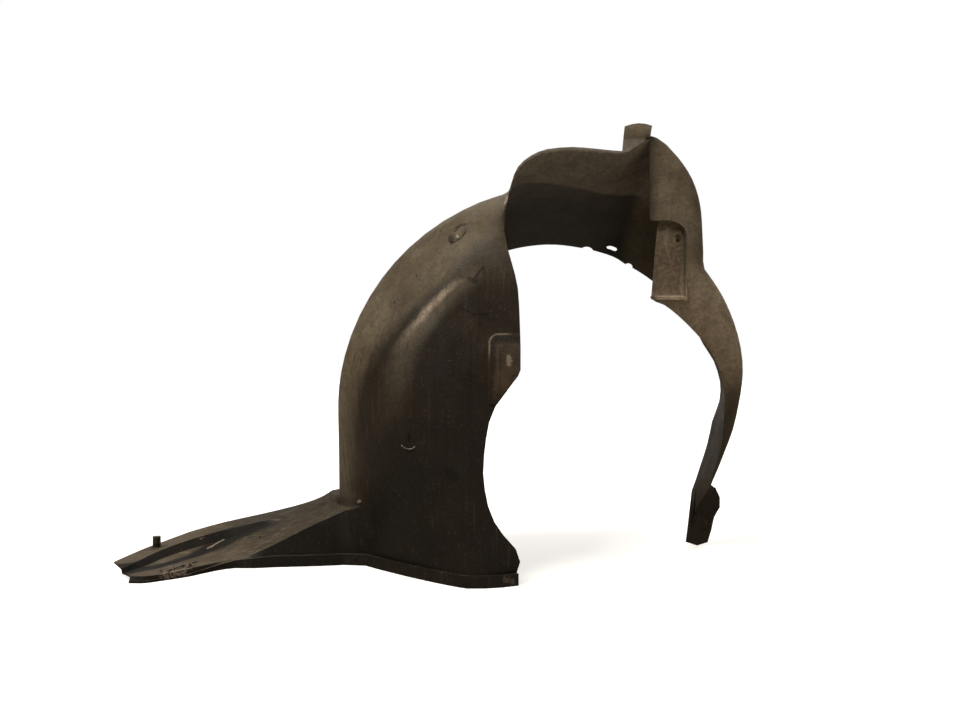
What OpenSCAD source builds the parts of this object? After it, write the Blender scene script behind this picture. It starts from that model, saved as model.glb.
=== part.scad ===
// Front wheel arch liner, moulded in one piece from black plastic.
// X runs towards the rear of the car, Y from the engine bay out to the wing, Z up.

/* [Sheet] */
// Thickness of the moulded wall
sheet_t = 2.4; // [2:0.1:3]
// Depth from the engine bay side to the lip at the wing
depth = 322; // [310:1:335]

/* [Arch] */
// Radius of the outer lip, which lies along the wheel opening of the wing
lip_r = 338; // [330:1:346]
// Radius of the band over the tyre
band_r = 416; // [408:1:424]
// Height of the axle line over the foot of the liner
axle_z = 269; // [262:1:276]
// Width of the rounded shoulder between band and front wall
shoulder_w = 250; // [235:1:265]
// Height of the pressed ridge along that shoulder
ridge_h = 8; // [4:0.5:10]
// Height of the raised top over the band
hump_rise = 45; // [35:1:55]

/* [Foot flange] */
// Height of the lip that hangs round the foot of the front wall
lip_h = 20; // [16:0.5:24]
// Width of the step from the wall out to that lip
step_w = 7; // [5:0.5:9]
// Diameter of the screw holes in the lip
screw_d = 5.5; // [4.5:0.1:6.5]

/* [Shelf] */
// Height of the ramp where it meets the band
ramp_h = 110; // [100:1:120]
// Diameter of the locating peg
peg_d = 14.5; // [12:0.5:16]
// Height of the peg over the shelf
peg_h = 20; // [15:0.5:25]

/* [Fixings] */
// Diameter of the screw hole in the sunk pad
pad_hole_d = 6.5; // [5:0.1:8]
// Depth of the sunk pad in the rear wall
pad_sink = 11; // [8:0.5:14]
// Height of the raised pad on the edge of the front wall
boss_rise = 9; // [6:0.5:12]
// Length of the slot in the outer lip
slot_l = 22; // [18:0.5:26]
// Width of that slot
slot_w = 11; // [8:0.5:13]

/* [Hidden] */
plastic = [0.17, 0.15, 0.12];
axle_x = 147;
// Y of the flat part of the front wall
wall_y = 8;
hump_r = band_r + hump_rise;

// A point round the arch. Angles up to 180 go round the axle line, from the rear over the top.
// From 180 to 220 the front of the arch runs straight down to the step over the lip.
function arch_at(angle, r) =
    angle <= 180
    ? [axle_x + r * cos(angle), axle_z + r * sin(angle)]
    : [axle_x - r, axle_z - (axle_z - lip_h) * (angle - 180) / 40];

// Stations round the arch, from the foot of the front wall to the rear foot:
// lip angle, lip radius, band angle, band radius, band y, edge x, edge y, edge z,
// roundness of the shoulder, its width, curl of the edge, fullness of the flank
front_stations = [
    [220, band_r + 13, 220, band_r, 235, 61, wall_y, lip_h, 1.12, shoulder_w, 18, 0.3],
    [215, band_r + 8, 215, band_r, 233, 68, wall_y, 47, 1.2, shoulder_w, 10, 0.4],
    [210, band_r - 4, 210, band_r, 231, 42, wall_y, 80, 1.3, shoulder_w, 4, 0.5],
    [203, band_r - 25, 203, band_r, 229, 16, wall_y, 122, 1.4, shoulder_w, 0, 0.7],
    [192, lip_r + 25, 192, band_r, 226, 5, wall_y, 192, 1.55, shoulder_w, 0, 0.9],
    [180, lip_r + 5, 180, band_r, 222, 15, wall_y, 270, 1.7, shoulder_w, 0, 1],
    [172, lip_r, 172, band_r, 212, 38, wall_y, 316, 1.8, shoulder_w, 0, 1],
    [163, lip_r, 164, band_r, 202, 64, wall_y, 346, 1.8, shoulder_w, 0, 1],
    [152, lip_r, 153, band_r, 190, 66, wall_y, 397, 1.8, shoulder_w, 0, 1],
    [142, lip_r, 142, band_r, 178, 65, wall_y, 440, 1.8, shoulder_w, 0, 1],
    [132, lip_r, 132, band_r, 168, 62, 9, 490, 1.8, shoulder_w, 0, 1],
    [122, lip_r, 121, band_r, 158, 52, 14, 533, 1.8, shoulder_w, 0, 1],
    [113, lip_r + 5, 111, band_r, 152, 40, 34, 590, 1.8, shoulder_w, 0, 0.9],
    [107, lip_r + 6, 105, band_r, 150, 46, 62, 640, 1.6, shoulder_w, 0, 0.6]
];
top_stations = [
    [104, lip_r + 6, 102.5, band_r, 150, 53, 60, axle_z + hump_r - 57, 1.2, shoulder_w, 0, 0.3],
    [101, lip_r + 6, 100, band_r, 150, 65, 50, axle_z + hump_r - 31, 1.2, shoulder_w, 0, 0.15],
    [97, lip_r + 6, 97, band_r, 150, 86, 45, axle_z + hump_r - 14, 1.35, shoulder_w, 0, 0.15],
    [92, lip_r + 6, 93, band_r, 150, 113, 42, axle_z + hump_r - 4, 1.35, shoulder_w, 0, 0.15],
    [86, lip_r + 5, 87.5, band_r, 148, 154, 40, axle_z + hump_r - 1, 1.35, shoulder_w, 0, 0.15],
    [81, lip_r + 4, 82.5, band_r + 3, 144, 194, 40, axle_z + hump_r - 4, 1.35, shoulder_w, 0, 0.15],
    [76.5, lip_r + 4, 78, band_r + 16, 132, 238, 40, axle_z + hump_r - 8, 1.35, shoulder_w, 0, 0.15],
    [73, lip_r + 4, 74.5, band_r + 46, 100, 262, 40, axle_z + hump_r + 3, 1.4, shoulder_w, 0, 0.15]
];
rear_stations = [
    [70, lip_r + 4, 71, 502, 68, 284, 40, 748, 1.6, 22, 0, 0.2],
    [67, lip_r + 3, 68.5, 494, 68, 284, 40, 722, 1.8, 24, 0, 0.25],
    [64, lip_r, 65.5, 481, 68, 284, 40, 690, 1.9, 26, 0, 0.3],
    [61, lip_r, 62.5, 465, 68, 284, 40, 655, 2, 28, 0, 0.35],
    [58, lip_r, 59.5, 444, 68, 284, 40, 632, 2, 28, 0, 0.4],
    [55, lip_r, 57, 423, 68, 285, 40, 609, 2, 28, 0, 0.45],
    [52, lip_r, 54.3, 398, 68, 299, 40, 597, 2, 28, 0, 0.5],
    [49, lip_r, 51, 372, 69, 297, 41, 550, 2, 28, 0, 0.5],
    [46, lip_r, 47.5, 351, 71, 294, 43, 513, 2, 28, 0, 0.5],
    [42.5, lip_r, 43.4, 349, 78, 287, 46, 477, 1.9, 34, 0, 0.5],
    [37.5, lip_r, 38, 347, 88, 311, 52, 466, 1.8, 38, 0, 0.5],
    [32, lip_r, 33, 344, 96, 336, 60, 449, 1.8, 40, 0, 0.5],
    [25, lip_r, 25.8, 340, 107, 369, 74, 421, 1.7, 38, 0, 0.5],
    [18, lip_r + 8, 18, 335, 120, 398, 91, 393, 1.6, 34, 0, 0.5],
    [11, lip_r + 10, 11, 328, 132, 422, 108, 356, 1.5, 30, 0, 0.5],
    [4, lip_r + 3, 4, 321, 146, 436, 126, 312, 1.4, 30, 0, 0.5],
    [-3, lip_r - 12, -4, 316, 162, 440, 148, 252, 1.3, 30, 0, 0.4],
    [-11, lip_r - 16, -11.5, 313, 181, 443, 174, 207, 1.2, 30, 0, 0.3],
    [-19, lip_r - 18, -18, 315, 200, 439, 196, 166, 1.1, 30, 0, 0.2],
    [-29, lip_r - 13, -22.5, 318, 214, 436, 210, 145, 1.1, 30, 0, 0.1]
];
stations = concat(front_stations, top_stations, rear_stations);

// Smooth values between stations, with no swing past either neighbour
function secant(rows, i, c) = rows[i + 1][c] - rows[i][c];
function slope(rows, i, c) =
    i == 0 || i == len(rows) - 1 ? 0
    : let (a = secant(rows, i - 1, c), b = secant(rows, i, c))
      a * b <= 0 ? 0 : 2 * a * b / (a + b);
function blend(rows, i, f, c) =
    let (a = rows[i][c], b = rows[i + 1][c], m = slope(rows, i, c), n = slope(rows, i + 1, c))
    a * (1 + 2 * f) * (1 - f) * (1 - f) + m * f * (1 - f) * (1 - f)
    + b * f * f * (3 - 2 * f) - n * f * f * (1 - f);
function between(rows, i, f) = [for (c = [0 : len(rows[0]) - 1]) blend(rows, i, f, c)];
function refined(rows, parts) = concat(
    [for (i = [0 : len(rows) - 2]) for (k = [0 : parts - 1]) between(rows, i, k / parts)],
    [rows[len(rows) - 1]]
);

// Columns of the section: the flank from the lip to the band, the shoulder, then the flat wall
flank_parts = 5;
flat_parts = 3;
turns = [0, 8, 16, 24, 32, 39, 46, 53, 60, 67, 75, 83, 90];
corner = flank_parts + 4;
last = flank_parts + len(turns) - 1 + flat_parts;

// The pressed ridge rises past the shoulder with a shallow valley beside it, and fades at both ends
function bell(x, middle, width) = exp(-pow((x - middle) / width, 2));
function ridge(turn, angle) =
    ridge_h * (bell(turn, 61, 9) - 0.6 * bell(turn, 41, 10))
    * min(1, max(0, (angle - 116) / 18)) * min(1, max(0, (216 - angle) / 40));

function flank_point(s, u) =
    let (lip = arch_at(s[0], s[1]), band = arch_at(s[2], s[3]))
    let (w = (1 - s[11]) * u + s[11] * sin(90 * u), p = lip + (band - lip) * w)
    [p.x, depth + (s[4] - depth) * u, p.y];

function wall_point(s, q, d, turn) =
    let (band = arch_at(s[2], s[3]), edge = [s[5], s[7]], along = (edge - band) / norm(edge - band))
    let (p = band + (edge - band) * q - along * ridge(turn, s[2]) * cos(turn))
    let (curl = s[10] * pow(max(0, (q - 0.8) / 0.2), 2))
    [p.x, s[4] + (s[6] - s[4]) * d + curl - ridge(turn, s[2]) * sin(turn), p.y];

function section(s) =
    let (run = norm([s[5], s[7]] - arch_at(s[2], s[3])), part = min(s[9], 0.9 * run) / run)
    concat(
        [for (k = [0 : flank_parts - 1]) flank_point(s, k / flank_parts)],
        [for (turn = turns)
            wall_point(s, part * (1 - pow(cos(turn), 2 / s[8])), pow(sin(turn), 2 / s[8]), turn)],
        [for (k = [1 : flat_parts]) wall_point(s, part + (1 - part) * k / flat_parts, 1, 90)]
    );

// Rows of the arch from the ramp's top upwards. The columns of the band start a little higher
// than those of the wall, because the ramp rises towards the wing.
fine_stations = refined(stations, 2);
function station_at(angle) =
    [for (c = [0 : len(stations[0]) - 1]) lookup(angle, [for (s = fine_stations) [s[2], s[c]]])];
function angle_at(z) = 180 + 40 * (axle_z - z) / (axle_z - lip_h);
upper_parts = 6;
lower_parts = 4;
ramp_angle = angle_at(ramp_h);
upper_rows = concat(
    [for (k = [0 : upper_parts - 1]) station_at(lerp(ramp_angle, 180, k / upper_parts))],
    [for (s = fine_stations) if (s[2] <= 180) s]
);
lower_rows = [for (k = [0 : lower_parts - 1]) station_at(lerp(220, ramp_angle, k / lower_parts))];
ramp_rise = 14;
function ramp_top(col) = ramp_h + ramp_rise * (1 - col / corner);
function band_point(s, col) =
    s[2] <= 180 ? section(s)[col]
    : section(station_at(180 + (s[2] - 180) * (axle_z - ramp_top(col)) / (axle_z - ramp_h)))[col];
function lerp(a, b, f) = a + (b - a) * f;

// Lines of the shelf from its front tip to the band, five points a station:
// outer rim, inner rim, foot of the groove, near edge, foot of the side wall
shelf_lines = [
    [[-634, 86, 24], [-606, 54, 20], [-597, 52, 11], [-585, 38, 11], [-586, 36, 4]],
    [[-635, 135, 22], [-600, 88, 21], [-586, 88, 9], [-563, 37, 11], [-564, 35, 4]],
    [[-633, 185, 21], [-598, 140, 21], [-574, 132, 4], [-539, 51, 11], [-540, 49, 4]],
    [[-620, 250, 22], [-592, 200, 21], [-562, 170, 4], [-502, 82, 13], [-502, 79, 5]],
    [[-578, 290, 35], [-559, 236, 30], [-532, 215, 10], [-472, 122, 13], [-472, 119, 9]],
    [[-512, 305, 52], [-495, 252, 46], [-486, 228, 26], [-440, 146, 17], [-441, 142, 14]],
    [[-443, 315, 66], [-437, 250, 60], [-430, 232, 50], [-405, 147, 26], [-406, 143, 18]],
    [[-394, 320, 77], [-390, 262, 69], [-387, 240, 64], [-374, 152, 39], [-375, 150, 20]],
    [[-353, depth, 88], [-350, 265, 80], [-346, 240, 76], [-330, 157, 61], [-330, 155, 20]],
    [[-321, depth, 100], [-314, 262, 93], [-309, 238, 89], [-290, 161, 80], [-290, 160, 20]],
    [[-300, depth, 113], [-286, 258, 108], [-277, 234, 104], [-247, 160, 99], [-249, 168, 20]]
];
function flat_row(s) = [for (p = s) for (v = p) v];
function unflat(v) = [for (k = [0 : 4]) [v[3 * k], v[3 * k + 1], v[3 * k + 2]]];
shelf = [for (v = refined([for (s = shelf_lines) flat_row(s)], 2)) unflat(v)];
// The groove drops steeply under the inner rim, in this share of its width
groove_drop = 0.2;
function shelf_top(s) = concat(
    [for (k = [0 : 2]) lerp(s[0], s[1], k / 3)],
    [s[1], lerp(s[1], s[2], groove_drop) - [0, 0, (1 - 2 * groove_drop) * (s[1].z - s[2].z)]],
    [for (k = [0 : corner - 5]) lerp(s[2], s[3], k / (corner - 5))]
);

// The foot line runs along the near edge of the shelf and round the wall. From each of its
// points a step goes out and a lip hangs down, and the wall stands on it.
foot_line = concat([for (s = shelf) s[4]], [for (c = [corner : last]) section(stations[0])[c]]);
function outwards(k) =
    let (a = foot_line[max(k - 1, 0)], b = foot_line[min(k + 1, len(foot_line) - 1)], d = b - a)
    [d.y, -d.x, 0] / norm([d.x, d.y]);
function step_at(z) = max(1.5, step_w * min(1, z / lip_h));
function lip_point(k, part) =
    let (p = foot_line[k])
    [p.x, p.y, p.z * part] + step_at(p.z) * outwards(k);
function low_column(k) = concat(
    [lip_point(k, 0), lip_point(k, 0.5), lip_point(k, 1), foot_line[k]],
    k < len(shelf)
    ? [for (h = [1 : lower_parts - 1]) lerp(foot_line[k], shelf[k][3], h / lower_parts)]
    : [for (h = [1 : lower_parts - 1]) section(lower_rows[h])[corner + k - len(shelf)]]
);

// The tab carries on from the inner edge of the hump, and its top leans out.
// Each row holds its height, y and left and right end.
tab_rows = [
    [axle_z + hump_r + 14, 40, 240, 285],
    [753, 40, 241, 286],
    [763, 46, 243, 289],
    [771, 51, 245, 290]
];
tab_arch = 7;
function tab_point(f, k) =
    let (row = tab_rows[k - 1], rise = k == len(tab_rows) ? tab_arch * (sin(150 * f + 10) - 1) : 0)
    [lerp(row[2], row[3], f), row[1], row[0] + rise];

// The rear foot turns off the end of the band: its fold, its middle and its free edge
foot_rows = [
    [[416, 319, 9], [426, 319, 38], [432, 316, 66], [436, 292, 89], [439, 258, 113], [441, 226, 137]],
    [[439, 320, 2], [446, 317, 34], [448, 300, 64], [450, 274, 89], [449, 248, 113], [445, 228, 135]],
    [[460, 320, 9], [466, 312, 36], [464, 284, 66], [466, 254, 90], [461, 237, 112], [448, 230, 131]]
];

// The whole skin as one list of points, in blocks that share their common lines:
// shelf top and band, wall, low wall with step and lip, tab, rear foot
shelf_n = len(shelf);
upper_n = len(upper_rows);
band_n = corner + 1;
wall_n = last - corner;
low_n = 3 + lower_parts;
path_n = len(foot_line);
tab_first = [for (i = [0 : upper_n - 1]) if (upper_rows[i][5] == 238) i][0];
tab_n = 5;
tab_h = len(tab_rows);
foot_n = len(foot_rows[0]);

wall_at = (shelf_n + upper_n) * band_n;
low_at = wall_at + upper_n * wall_n;
tab_at = low_at + path_n * low_n;
foot_at = tab_at + tab_n * tab_h;

function band_id(i, c) = i * band_n + c;
function wall_id(i, c) = c == corner ? band_id(shelf_n + i, c) : wall_at + i * wall_n + c - corner - 1;
function low_id(p, h) =
    h < low_n ? low_at + p * low_n + h
    : p < shelf_n ? band_id(p, corner) : wall_id(0, corner + p - shelf_n);
function tab_id(r, k) = k == 0 ? wall_id(tab_first + r, last) : tab_at + r * tab_h + k - 1;
function foot_id(r, c) = r == 0 ? band_id(shelf_n + upper_n - 1, c) : foot_at + (r - 1) * foot_n + c;

arch_rows = [for (s = upper_rows) section(s)];
skin = concat(
    [for (s = shelf) for (p = shelf_top(s)) p],
    [for (i = [0 : upper_n - 1]) for (c = [0 : corner]) band_point(upper_rows[i], c)],
    [for (i = [0 : upper_n - 1]) for (c = [corner + 1 : last]) arch_rows[i][c]],
    [for (k = [0 : path_n - 1]) for (p = low_column(k)) p],
    [for (r = [0 : tab_n - 1]) for (k = [1 : tab_h]) tab_point(r / (tab_n - 1), k)],
    [for (row = foot_rows) for (p = row) p]
);

// The way out of the skin at a point, from its neighbours along and across
function way(along, across) =
    let (c = cross(skin[across[1]] - skin[across[0]], skin[along[1]] - skin[along[0]]))
    c / norm(c);
function band_way(i, c) =
    let (along = [band_id(max(i - 1, 0), c), band_id(min(i + 1, shelf_n + upper_n - 1), c)])
    c < corner ? way(along, [band_id(i, max(c - 1, 0)), band_id(i, c + 1)])
    : i >= shelf_n ? way(along, [band_id(i, c - 1), wall_id(i - shelf_n, c + 1)])
    : let (a = way(along, [band_id(i, c - 1), band_id(i, c)]))
      let (b = way(along, [band_id(i, c), low_id(i, low_n - 1)]))
      (a + b) / (1 + a * b);
function wall_way(i, c) = way(
    [
        i == 0 ? low_id(shelf_n + c - corner, low_n - 1) : wall_id(i - 1, c),
        wall_id(min(i + 1, upper_n - 1), c)
    ],
    [wall_id(i, c - 1), wall_id(i, min(c + 1, last))]
);
function low_way(p, h) = way(
    [low_id(max(p - 1, 0), h), low_id(min(p + 1, path_n - 1), h)],
    [low_id(p, h + 1), low_id(p, max(h - 1, 0))]
);
function tab_way(r, k) = way(
    [tab_id(max(r - 1, 0), k), tab_id(min(r + 1, tab_n - 1), k)],
    [tab_id(r, k - 1), tab_id(r, min(k + 1, tab_h))]
);
function foot_way(r, c) = way(
    [foot_id(r - 1, c), foot_id(min(r + 1, len(foot_rows)), c)],
    [foot_id(r, max(c - 1, 0)), foot_id(r, min(c + 1, foot_n - 1))]
);
ways = concat(
    [for (i = [0 : shelf_n + upper_n - 1]) for (c = [0 : corner]) band_way(i, c)],
    [for (i = [0 : upper_n - 1]) for (c = [corner + 1 : last]) wall_way(i, c)],
    [for (p = [0 : path_n - 1]) for (h = [0 : low_n - 1]) low_way(p, h)],
    [for (r = [0 : tab_n - 1]) for (k = [1 : tab_h]) tab_way(r, k)],
    [for (r = [1 : len(foot_rows)]) for (c = [0 : foot_n - 1]) foot_way(r, c)]
);

cells = concat(
    [for (i = [0 : shelf_n + upper_n - 2]) for (c = [0 : corner - 1])
        [band_id(i, c), band_id(i, c + 1), band_id(i + 1, c + 1), band_id(i + 1, c)]],
    [for (i = [0 : upper_n - 2]) for (c = [corner : last - 1])
        [wall_id(i, c), wall_id(i, c + 1), wall_id(i + 1, c + 1), wall_id(i + 1, c)]],
    [for (p = [0 : path_n - 2]) for (h = [0 : low_n - 1])
        [low_id(p, h), low_id(p + 1, h), low_id(p + 1, h + 1), low_id(p, h + 1)]],
    [for (r = [0 : tab_n - 2]) for (k = [0 : tab_h - 1])
        [tab_id(r, k), tab_id(r, k + 1), tab_id(r + 1, k + 1), tab_id(r + 1, k)]],
    [for (r = [0 : len(foot_rows) - 1]) for (c = [0 : foot_n - 2])
        [foot_id(r, c), foot_id(r, c + 1), foot_id(r + 1, c + 1), foot_id(r + 1, c)]]
);

// The free edge of the skin, all the way round
rim = concat(
    [for (i = [shelf_n + upper_n - 1 : -1 : 1]) band_id(i, 0)],
    [for (c = [0 : corner]) band_id(0, c)],
    [for (h = [low_n - 1 : -1 : 1]) low_id(0, h)],
    [for (p = [0 : path_n - 1]) low_id(p, 0)],
    [for (h = [1 : low_n]) low_id(path_n - 1, h)],
    [for (i = [1 : tab_first]) wall_id(i, last)],
    [for (k = [1 : tab_h]) tab_id(0, k)],
    [for (r = [1 : tab_n - 1]) tab_id(r, tab_h)],
    [for (k = [tab_h - 1 : -1 : 1]) tab_id(tab_n - 1, k)],
    [for (i = [tab_first + tab_n - 1 : upper_n - 1]) wall_id(i, last)],
    [for (c = [last - 1 : -1 : corner + 1]) wall_id(upper_n - 1, c)],
    [for (c = [corner : -1 : foot_n - 1]) band_id(shelf_n + upper_n - 1, c)],
    [for (r = [1 : len(foot_rows)]) foot_id(r, foot_n - 1)],
    [for (c = [foot_n - 2 : -1 : 0]) foot_id(len(foot_rows), c)],
    [for (r = [len(foot_rows) - 1 : -1 : 1]) foot_id(r, 0)]
);

inner_skin = [for (i = [0 : len(skin) - 1]) skin[i] - sheet_t * ways[i]];
shell = concat(skin, inner_skin);
low = [
    min([for (p = shell) p.x]),
    min([wall_y - boss_rise, for (p = shell) p.y]),
    min([for (p = shell) p.z])
];
high = [for (c = [0 : 2]) max([for (p = shell) p[c]])];

module moulding() {
    n = len(skin);
    polyhedron(
        shell,
        concat(
            [for (c = cells) [c[2], c[1], c[0]]],
            [for (c = cells) [c[3], c[2], c[0]]],
            [for (c = cells) [n + c[0], n + c[1], n + c[2]]],
            [for (c = cells) [n + c[0], n + c[2], n + c[3]]],
            [for (k = [0 : len(rim) - 1]) let (u = rim[k], v = rim[(k + 1) % len(rim)]) [n + u, u, v]],
            [for (k = [0 : len(rim) - 1]) let (u = rim[k], v = rim[(k + 1) % len(rim)]) [n + v, n + u, v]]
        ),
        convexity = 12
    );
}

module along_y(x, z, from, to, d) {
    translate([x, from, z]) rotate([-90, 0, 0]) cylinder(d = d, h = to - from, $fn = 32);
}

// Frame on the outer lip at an angle round the axle line, with Z pointing away from it
module on_lip(angle) {
    translate([axle_x, 0, axle_z]) rotate([0, 90 - angle, 0]) children();
}

// Slot and worn notches in the outer lip; a notch is a round bite of the given width and depth
module lip_slot(angle, inset) {
    reach = (slot_l - slot_w) / 2;
    on_lip(angle) translate([0, depth - inset, lip_r - 20]) {
        for (side = [-1, 1]) translate([side * reach, 0, 0]) cylinder(d = slot_w, h = 60, $fn = 32);
        translate([-reach, -slot_w / 2, 0]) cube([2 * reach, slot_w, 60]);
    }
}

module lip_notch(angle, width, bite) {
    r = (width * width / 4 + bite * bite) / (2 * bite);
    on_lip(angle) translate([0, depth - bite + r, lip_r - 20]) cylinder(r = r, h = 60, $fn = 32);
}

// A plate in the XZ plane, used as the two ends of a pad
module plate(y, outline) {
    translate([0, y, 0]) rotate([90, 0, 0]) linear_extrude(0.2) polygon(outline);
}

// Raised pad at the free edge of the wall, hollow on the wheel side and open at the edge
boss_foot = [[10, 300], [28, 300], [62, 346], [66, 356], [66, 414], [26, 414], [15, 408], [10, 396]];
boss_face = [[26, 300], [28, 300], [62, 346], [66, 356], [66, 392], [38, 392], [29, 387], [26, 378]];
boss_hollow_foot = [[2, 302], [42, 302], [80, 352], [80, 419], [22, 419], [8, 411], [2, 397]];
boss_hollow_face = [[28, 302], [42, 302], [80, 352], [80, 390], [39, 390], [31, 386], [28, 378]];
module boss_body() {
    hull() {
        plate(wall_y + 2, boss_foot);
        plate(wall_y - boss_rise + 0.2, boss_face);
    }
}
module boss_hollow() {
    hull() {
        plate(wall_y + 6, boss_hollow_foot);
        plate(wall_y - boss_rise + sheet_t + 0.2, boss_hollow_face);
    }
}

// Sunk pad at the free edge of the rear wall, with a screw hole in its floor
dish_mouth = [
    [288, 474], [296.5, 510], [299.5, 550], [300, 585], [300, 610],
    [318, 610], [334, 604], [344, 595], [348, 584], [348, 474]
];
dish_floor = [
    [290, 482], [296.5, 510], [299.5, 550], [300, 585], [300, 601],
    [318, 600], [332, 597], [342, 590], [346, 581], [346, 482]
];
// The hollow runs out past the free edge, and its floor is 2 mm inside the body's on the other sides
function past_edge(p, top) = p.x < 310 ? [p.x - 20, min(p.y, top)] : p;
module dish_body() {
    hull() {
        plate(44, dish_mouth);
        plate(41 + pad_sink + sheet_t, dish_floor);
    }
}
module dish_hollow() {
    hull() {
        plate(34, [for (p = dish_mouth) past_edge(p, 610)]);
        plate(41 + pad_sink, [for (p = dish_floor) past_edge(p.x < 310 ? p : p - [2, 0], 599)]);
    }
}

// The tear through the shelf's groove
tear = [
    [-545, 78], [-536, 82], [-531, 96], [-524, 104], [-519, 121], [-509, 134], [-508, 148],
    [-516, 140], [-523, 128], [-530, 121], [-533, 108], [-541, 97], [-539, 88]
];

// Blind marks of the two screws in the lip: x, y of the foot line there, and how far the lip's
// face moves in Y for each mm of the step
screw_marks = [[-226, 165, 1], [50, 21.2, 1.09]];
mark_depth = 1.2;

// A slit pressed into the wall where a clip was, deeper at its foot
slit_x = -118;
module slit() {
    hull() {
        along_y(slit_x, 248, 10, 32.9, 3.5);
        along_y(slit_x, 237, 10, 33.6, 4.5);
    }
}

// The peg and its low collar stand on the shelf's tip, and their foot ends inside the sheet
peg_at = [-611, 212, 20.2];
collar_h = 2;
module peg() {
    translate(peg_at) {
        cylinder(d = peg_d, h = peg_h + collar_h, $fn = 48);
        cylinder(d = peg_d + 6, h = collar_h, $fn = 48);
    }
}

module liner() {
    color(plastic) translate([-(low.x + high.x) / 2, -(low.y + high.y) / 2, -low.z]) {
        difference() {
            union() {
                moulding();
                peg();
                boss_body();
                dish_body();
            }
            boss_hollow();
            dish_hollow();
            along_y(334, 575, 45, 60, pad_hole_d);
            lip_slot(70.5, 17);
            lip_notch(78, 24, 8);
            lip_notch(62.6, 16, 7.5);
            for (m = screw_marks) {
                along_y(m.x, lip_h / 2 - 1, m.y - 25, m.y - m[2] * step_w + mark_depth, screw_d);
            }
            slit();
            translate([-412, 200, 0]) cylinder(d = screw_d, h = 90, $fn = 32);
            translate([0, 0, -1]) linear_extrude(50) polygon(tear);
        }
    }
}

liner();
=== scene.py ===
import math
import random
import bmesh
import bpy
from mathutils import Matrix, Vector, noise
from mathutils.bvhtree import BVHTree


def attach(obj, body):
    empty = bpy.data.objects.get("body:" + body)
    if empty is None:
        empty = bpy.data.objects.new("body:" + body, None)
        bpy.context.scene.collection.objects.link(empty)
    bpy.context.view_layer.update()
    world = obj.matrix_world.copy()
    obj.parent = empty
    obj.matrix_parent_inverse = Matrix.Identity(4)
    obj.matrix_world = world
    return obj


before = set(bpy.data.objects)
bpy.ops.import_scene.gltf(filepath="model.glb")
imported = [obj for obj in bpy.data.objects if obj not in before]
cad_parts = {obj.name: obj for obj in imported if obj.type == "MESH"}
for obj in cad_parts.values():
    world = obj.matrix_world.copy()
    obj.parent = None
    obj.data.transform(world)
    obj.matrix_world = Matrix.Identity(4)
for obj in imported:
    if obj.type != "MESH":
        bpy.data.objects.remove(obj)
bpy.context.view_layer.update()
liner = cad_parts["liner"]


# The liner: one sheet of black polypropylene, moulded in a grained tool and held in the wing by
# clips and screws. The mould leaves smooth folds, so the faces are shaded as curves and only
# real edges stay sharp. Lengths in this file are in metres and angles in degrees.
WELD_GAP = 0.00002
SHARP_FOLD = 32


def smooth_folds(name, weld_gap, sharp_degrees):
    tree = bpy.data.node_groups.new(name, "GeometryNodeTree")
    tree.interface.new_socket("Geometry", in_out="INPUT", socket_type="NodeSocketGeometry")
    tree.interface.new_socket("Geometry", in_out="OUTPUT", socket_type="NodeSocketGeometry")
    nodes, links = tree.nodes, tree.links
    start = nodes.new("NodeGroupInput")
    weld = nodes.new("GeometryNodeMergeByDistance")
    weld.inputs["Distance"].default_value = weld_gap
    faces = nodes.new("GeometryNodeSetShadeSmooth")
    faces.domain = "FACE"
    edges = nodes.new("GeometryNodeSetShadeSmooth")
    edges.domain = "EDGE"
    angle = nodes.new("GeometryNodeInputMeshEdgeAngle")
    sharp = nodes.new("FunctionNodeCompare")
    sharp.operation = "GREATER_THAN"
    sharp.inputs["B"].default_value = math.radians(sharp_degrees)
    end = nodes.new("NodeGroupOutput")
    links.new(start.outputs[0], weld.inputs["Geometry"])
    links.new(weld.outputs[0], faces.inputs["Geometry"])
    links.new(faces.outputs[0], edges.inputs["Geometry"])
    links.new(angle.outputs["Unsigned Angle"], sharp.inputs["A"])
    links.new(sharp.outputs[0], edges.inputs["Selection"])
    edges.inputs["Shade Smooth"].default_value = False
    links.new(edges.outputs[0], end.inputs[0])
    return tree


folds = smooth_folds("moulded_folds", WELD_GAP, SHARP_FOLD)
for face in liner.data.polygons:
    face.use_smooth = True
smoothing = liner.modifiers.new("moulded_folds", "NODES")
smoothing.node_group = folds


# The grain of the sheet: fine, leather-like cells from the etched tool, and the broad flow marks
# that the molten plastic left as it ran through the mould. Sizes are marks per metre, and each
# share is that mark's part of the height.
CELL_MARKS = 420
FINE_MARKS = 260
FLOW_MARKS = 16
CELL_SHARE = 0.35
FLOW_SHARE = 1.6


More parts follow.
